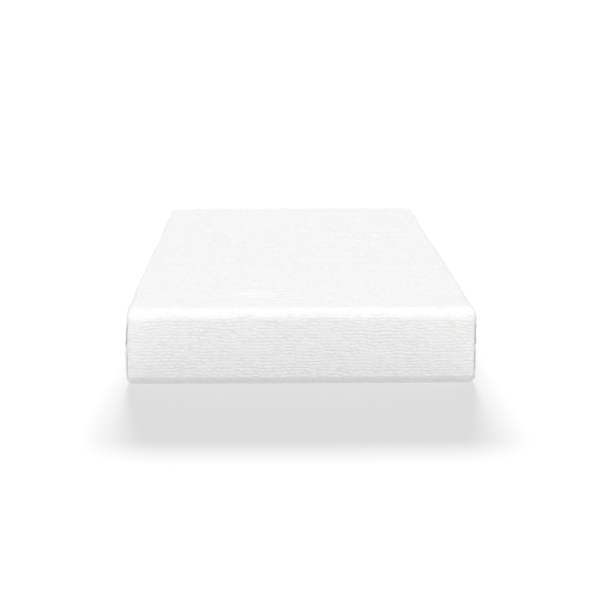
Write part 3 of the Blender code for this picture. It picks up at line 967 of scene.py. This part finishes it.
def make_sleeve(material):
    """The knitted inner sleeve: a thin rounded box over the foam, open in a slot at the head end."""
    low, high = (np.array(corner) for corner in (SLEEVE_LOW, SLEEVE_HIGH))
    half, tall = MOUTH_HALF_WIDE, MOUTH_HALF_TALL
    cuts = (-half, half), (), (ZIP_Z - tall, ZIP_Z + tall)
    points, quads = block(low, high, SLEEVE_ROUNDING, FOAM_CELL, cuts)
    middle = points[quads].mean(1)
    mouth = (middle[:, 1] > high[1] - MM) & (np.abs(middle[:, 0]) < half) & (np.abs(middle[:, 2] - ZIP_Z) < tall)
    used, quads = np.unique(quads[~mouth], return_inverse=True)
    points = held_in(points, SLEEVE_GAP)
    mesh = make_mesh("sleeve_fabric", points[used], quads.reshape(-1, 4))
    piece = add_piece("sleeve_fabric", mesh, material, "mattress", "sleeve_knit", "inner_sleeve")
    cloth = piece.modifiers.new("cloth", "SOLIDIFY")
    cloth.thickness = 0.9 * MM
    cloth.offset = -1.0


# ================================================================ materials
def new_material(name):
    """A node material with its Principled shader, and its tree."""
    material = bpy.data.materials.new(name)
    material.use_nodes = True
    tree = material.node_tree
    return material, tree, tree.nodes["Principled BSDF"]


def add_node(tree, kind, inputs=None, **settings):
    """A node with its settings and the values or links of its inputs."""
    node = tree.nodes.new(kind)
    for key, value in settings.items():
        setattr(node, key, value)
    for key, value in (inputs or {}).items():
        if isinstance(value, bpy.types.NodeSocket):
            tree.links.new(value, node.inputs[key])
        else:
            node.inputs[key].default_value = value
    return node


def maths(tree, operation, *values):
    """A Math node on links or numbers."""
    return add_node(tree, "ShaderNodeMath", dict(enumerate(values)), operation=operation).outputs[0]


def object_place(tree):
    """The Object coordinates and their three parts."""
    place = tree.nodes.new("ShaderNodeTexCoord").outputs["Object"]
    return place, add_node(tree, "ShaderNodeSeparateXYZ", {0: place}).outputs


def noise(tree, place, scale, detail=2.0):
    """Noise of about that many bumps to the metre."""
    return add_node(tree, "ShaderNodeTexNoise", {"Vector": place, "Scale": scale, "Detail": detail}).outputs[0]


def blend_colours(tree, factor, low, high):
    """A colour from low to high."""
    mix = add_node(tree, "ShaderNodeMix", {0: factor, 6: (*low, 1), 7: (*high, 1)}, data_type="RGBA")
    return mix.outputs[2]


def finish(tree, shader, colour, height, depth, strength, **uniform):
    """Links the colour and a bump of the height, and sets the shader's uniform values."""
    bump = add_node(tree, "ShaderNodeBump", {"Height": height, "Distance": depth, "Strength": strength})
    tree.links.new(bump.outputs[0], shader.inputs["Normal"])
    tree.links.new(colour, shader.inputs["Base Color"])
    for key, value in uniform.items():
        shader.inputs[key.replace("_", " ")].default_value = value


def read_field(tree, name):
    """A surface's own value of that name."""
    return add_node(tree, "ShaderNodeAttribute", attribute_name=name).outputs["Fac"]


def knit_material(name, light, shade, wale, course, fields, strength):
    """Weft knit: V-shaped stitches in wales and courses, fuzz as noise, and painted shade where the relief field is
    low, in the pebbles' grooves and the folds' valleys; without that field a noise mottle.

    In a wale a stitch's two legs lean apart, so the course is shifted by the distance from the wale's middle; the
    height is a squared sine of that, pinched at the wale's edges.
    """
    material, tree, shader = new_material(name)
    place, (x, y, z) = object_place(tree)
    across = read_field(tree, "across") if fields else maths(tree, "ADD", x, maths(tree, "MULTIPLY", y, 0.7))
    along = read_field(tree, "along") if fields else maths(tree, "ADD", z, maths(tree, "MULTIPLY", y, 0.7))
    leg = maths(tree, "PINGPONG", maths(tree, "DIVIDE", across, wale), 0.5)
    row = maths(tree, "ADD", maths(tree, "DIVIDE", along, course), maths(tree, "MULTIPLY", leg, 1.3))
    wave = maths(tree, "SINE", maths(tree, "MULTIPLY", row, math.pi))
    pinch = maths(tree, "SINE", maths(tree, "MULTIPLY", leg, 2 * math.pi))
    loops = maths(tree, "MULTIPLY", maths(tree, "MULTIPLY", wave, wave), pinch)
    height = maths(tree, "ADD", loops, maths(tree, "MULTIPLY", noise(tree, place, 1100.0, 3.0), 0.7))
    mottle = noise(tree, place, 55.0)
    # painted shade: where the relief field is low (grooves, fold valleys) the colour goes to the darker shade colour
    base = maths(tree, "MULTIPLY", read_field(tree, "relief") if fields else mottle, 0.85)
    factor = maths(tree, "ADD", base, maths(tree, "MULTIPLY", mottle, 0.2))
    colour = blend_colours(tree, factor, shade, light)
    finish(
        tree, shader, colour, height, 0.22 * MM, strength,
        Roughness=0.9, Specular_IOR_Level=0.25, Sheen_Weight=0.08, Sheen_Roughness=0.5,
    )
    return material


def foam_material(name, light, shade, pore):
    """Cut open-cell foam: small round pores as a Voronoi pattern and a slow change of tone."""
    material, tree, shader = new_material(name)
    place, _ = object_place(tree)
    cells = add_node(tree, "ShaderNodeTexVoronoi", {"Vector": place, "Scale": 1 / pore}).outputs["Distance"]
    height = maths(tree, "ADD", cells, maths(tree, "MULTIPLY", noise(tree, place, 2.5 / pore), 0.6))
    tone = maths(tree, "MULTIPLY", noise(tree, place, 9.0), 0.6)
    factor = maths(tree, "ADD", maths(tree, "MULTIPLY", cells, 0.5), tone)
    finish(
        tree, shader, blend_colours(tree, factor, shade, light), height, 0.3 * MM, 0.6,
        Roughness=0.95, Specular_IOR_Level=0.2,
    )
    return material


def woven_material(name, light, shade, pitch, gloss, strength):
    """Twill: diagonal ribs from a sine of the sum of place along and up, crossed by finer weft."""
    material, tree, shader = new_material(name)
    place, (x, y, z) = object_place(tree)
    along = maths(tree, "ADD", x, y)
    ribs = maths(tree, "SINE", maths(tree, "MULTIPLY", maths(tree, "ADD", along, z), 2 * math.pi / pitch))
    weft = maths(tree, "SINE", maths(tree, "MULTIPLY", z, 2.8 * math.pi / pitch))
    height = maths(tree, "ADD", ribs, maths(tree, "MULTIPLY", weft, 0.5))
    factor = maths(tree, "MULTIPLY_ADD", height, 0.25, noise(tree, place, 300.0))
    finish(
        tree, shader, blend_colours(tree, factor, shade, light), height, 0.12 * MM, strength,
        Roughness=gloss, Specular_IOR_Level=0.4, Sheen_Weight=0.1,
    )
    return material


def nylon_material(name, light, shade):
    """Drawn nylon wire: smooth and slightly translucent, with faint die lines."""
    material, tree, shader = new_material(name)
    place, _ = object_place(tree)
    lines = noise(tree, place, 1800.0, 1.0)
    finish(
        tree, shader, blend_colours(tree, noise(tree, place, 120.0), shade, light), lines, 0.05 * MM, 0.25,
        Roughness=0.32, Specular_IOR_Level=0.5, Coat_Weight=0.15, Coat_Roughness=0.2,
    )
    return material


def metal_material(name, light, shade):
    """Nickel-plated die casting: brushed in fine streaks, a little duller in patches from handling."""
    material, tree, shader = new_material(name)
    place, _ = object_place(tree)
    stretch = add_node(tree, "ShaderNodeMapping", {"Vector": place, "Scale": (900.0, 160.0, 900.0)}).outputs[0]
    streaks = noise(tree, stretch, 4.0)
    wear = noise(tree, place, 260.0)
    rough = maths(tree, "MULTIPLY_ADD", wear, 0.22, 0.18)
    tree.links.new(rough, shader.inputs["Roughness"])
    finish(tree, shader, blend_colours(tree, wear, shade, light), streaks, 0.04 * MM, 0.3, Metallic=1.0)
    return material


# ================================================================ camera, floor and light
def add_camera():
    """The camera, at the foot end and a little to the left, level and looking slightly down."""
    data = bpy.data.cameras.new("camera")
    data.lens = CAMERA_LENS
    data.sensor_width = 36
    data.clip_end = 1000
    camera = bpy.data.objects.new("camera", data)
    camera.location = CAMERA_PLACE
    camera.rotation_euler = (math.radians(90 - CAMERA_DOWN), 0, math.radians(-CAMERA_TURN))
    bpy.context.scene.collection.objects.link(camera)
    bpy.context.scene.camera = camera


def add_sun(name, strength, angle, azimuth, elevation):
    """A distant soft light that seems that angle wide; azimuth 0 is behind the camera and grows towards +X."""
    data = bpy.data.lights.new(name, "SUN")
    data.energy = strength
    data.angle = math.radians(angle)
    light = bpy.data.objects.new(name, data)
    light.rotation_euler = (math.radians(90 - elevation), 0, math.radians(azimuth))
    bpy.context.scene.collection.objects.link(light)
    return light


def keep_light(light, target, state):
    """INCLUDE: the light falls on the target alone. EXCLUDE: it falls on everything else."""
    group = bpy.data.collections.new(f"{light.name}_reach")
    group.objects.link(target)
    group.collection_objects[0].light_linking.link_state = state
    light.light_linking.receiver_collection = group


def add_room():
    """A plain pale floor that seems to have no end, a pale sky, darker at both sides, and soft lights.

    The key light falls on the mattress alone, and the low ones behind it on the floor alone, where they make the
    soft shadow in front. The floor gives off a little light of its own, so the shadow stays pale.
    """
    corners = FLOOR_HALF * np.array([(-1, -1, 0), (1, -1, 0), (1, 1, 0), (-1, 1, 0)])
    mesh = make_mesh("floor", corners, np.array([[0, 1, 2, 3]]))
    floor = bpy.data.objects.new("floor", mesh)
    material, tree, shader = new_material("floor_paint")
    shader.inputs["Base Color"].default_value = (FLOOR_TONE, FLOOR_TONE, FLOOR_TONE, 1)
    shader.inputs["Roughness"].default_value = 1.0
    shader.inputs["Specular IOR Level"].default_value = 0.0
    shader.inputs["Emission Color"].default_value = (1, 1, 1, 1)
    shader.inputs["Emission Strength"].default_value = FLOOR_GLOW
    mesh.materials.append(material)
    bpy.context.scene.collection.objects.link(floor)
    world = bpy.data.worlds.new("sky")
    world.use_nodes = True
    tree = world.node_tree
    sky = tree.nodes["Background"]
    sky.inputs["Color"].default_value = (1, 1, 1, 1)
    split = tree.nodes.new("ShaderNodeSeparateXYZ")
    tree.links.new(tree.nodes.new("ShaderNodeTexCoord").outputs["Generated"], split.inputs[0])
    aside = maths(tree, "ABSOLUTE", maths(tree, "ADD", split.outputs[0], 0.08))
    limits = {"Value": aside, "From Min": 0.15, "From Max": 0.95, "To Min": SKY_STRENGTH, "To Max": 0.0}
    ramp = add_node(tree, "ShaderNodeMapRange", limits, interpolation_type="SMOOTHSTEP")
    tree.links.new(ramp.outputs["Result"], sky.inputs["Strength"])
    bpy.context.scene.world = world
    keep_light(add_sun("key", **KEY_SUN), floor, "EXCLUDE")
    for number, turn in enumerate(BACK_TURNS):
        keep_light(add_sun(f"back_{number}", azimuth=180 + turn, **BACK_SUN), floor, "INCLUDE")
    view = bpy.context.scene.view_settings
    view.view_transform = "Standard"
    view.look = "None"


add_camera()
add_room()

# the cover knit's second colour is the painted shade of its grooves and fold valleys
COVER_KNIT = knit_material("cover_knit", (0.94, 0.94, 0.935), (0.83, 0.83, 0.825), 1.3 * MM, 1.0 * MM, True, 0.5)
SLEEVE_KNIT = knit_material("sleeve_knit", (0.90, 0.90, 0.89), (0.78, 0.78, 0.77), 0.9 * MM, 0.8 * MM, False, 0.5)
MEMORY_FOAM = foam_material("memory_foam", (0.95, 0.93, 0.86), (0.84, 0.81, 0.72), 0.9 * MM)
TRANSITION_FOAM = foam_material("transition_foam", (0.78, 0.86, 0.90), (0.62, 0.72, 0.78), 1.3 * MM)
SUPPORT_FOAM = foam_material("support_foam", (0.94, 0.93, 0.90), (0.82, 0.80, 0.76), 1.7 * MM)
ZIP_TAPE = woven_material("zip_tape", (0.88, 0.88, 0.87), (0.70, 0.70, 0.69), 0.9 * MM, 0.75, 0.7)
LABEL_SATIN = woven_material("label_satin", (0.95, 0.95, 0.94), (0.87, 0.87, 0.86), 0.35 * MM, 0.38, 0.3)
THREAD = woven_material("stitch_thread", (0.93, 0.93, 0.92), (0.80, 0.80, 0.79), 0.5 * MM, 0.6, 0.5)
ZIP_NYLON = nylon_material("zip_nylon", (0.90, 0.90, 0.88), (0.82, 0.82, 0.80))
ZIP_METAL = metal_material("zip_metal", (0.78, 0.77, 0.75), (0.62, 0.61, 0.59))

stitch_lines = make_main_panel(COVER_KNIT)
for side, hand in ((-1, "left"), (1, "right")):
    for level, tier in ((1, "upper"), (-1, "lower")):
        stitch_lines.append(
            make_side_strip(COVER_KNIT, f"side_{tier}_{hand}", side, level, f"cover_side_{tier}_{hand}")
        )
make_stitches(THREAD, stitch_lines)
for level, tier, shift in ((1, "upper", 0.0), (-1, "lower", 0.5)):
    make_tape(ZIP_TAPE, f"tape_{tier}", level, f"zip_tape_{tier}")
    make_coil(ZIP_NYLON, f"coil_{tier}", level, shift, f"zip_coil_{tier}")
make_label(LABEL_SATIN)
make_foam(MEMORY_FOAM, "foam_memory", "memory_foam_layer", (14 * MM, 14 * MM, 9 * MM), "memory_foam")
make_foam(TRANSITION_FOAM, "foam_transition", "transition_foam_layer", (14 * MM, 14 * MM, 2 * MM), "transition_foam")
make_foam(SUPPORT_FOAM, "foam_core", "support_foam_core", (14 * MM, 14 * MM, 9 * MM), "support_foam")
make_sleeve(SLEEVE_KNIT)
make_slider(ZIP_METAL)
make_puller(ZIP_METAL)
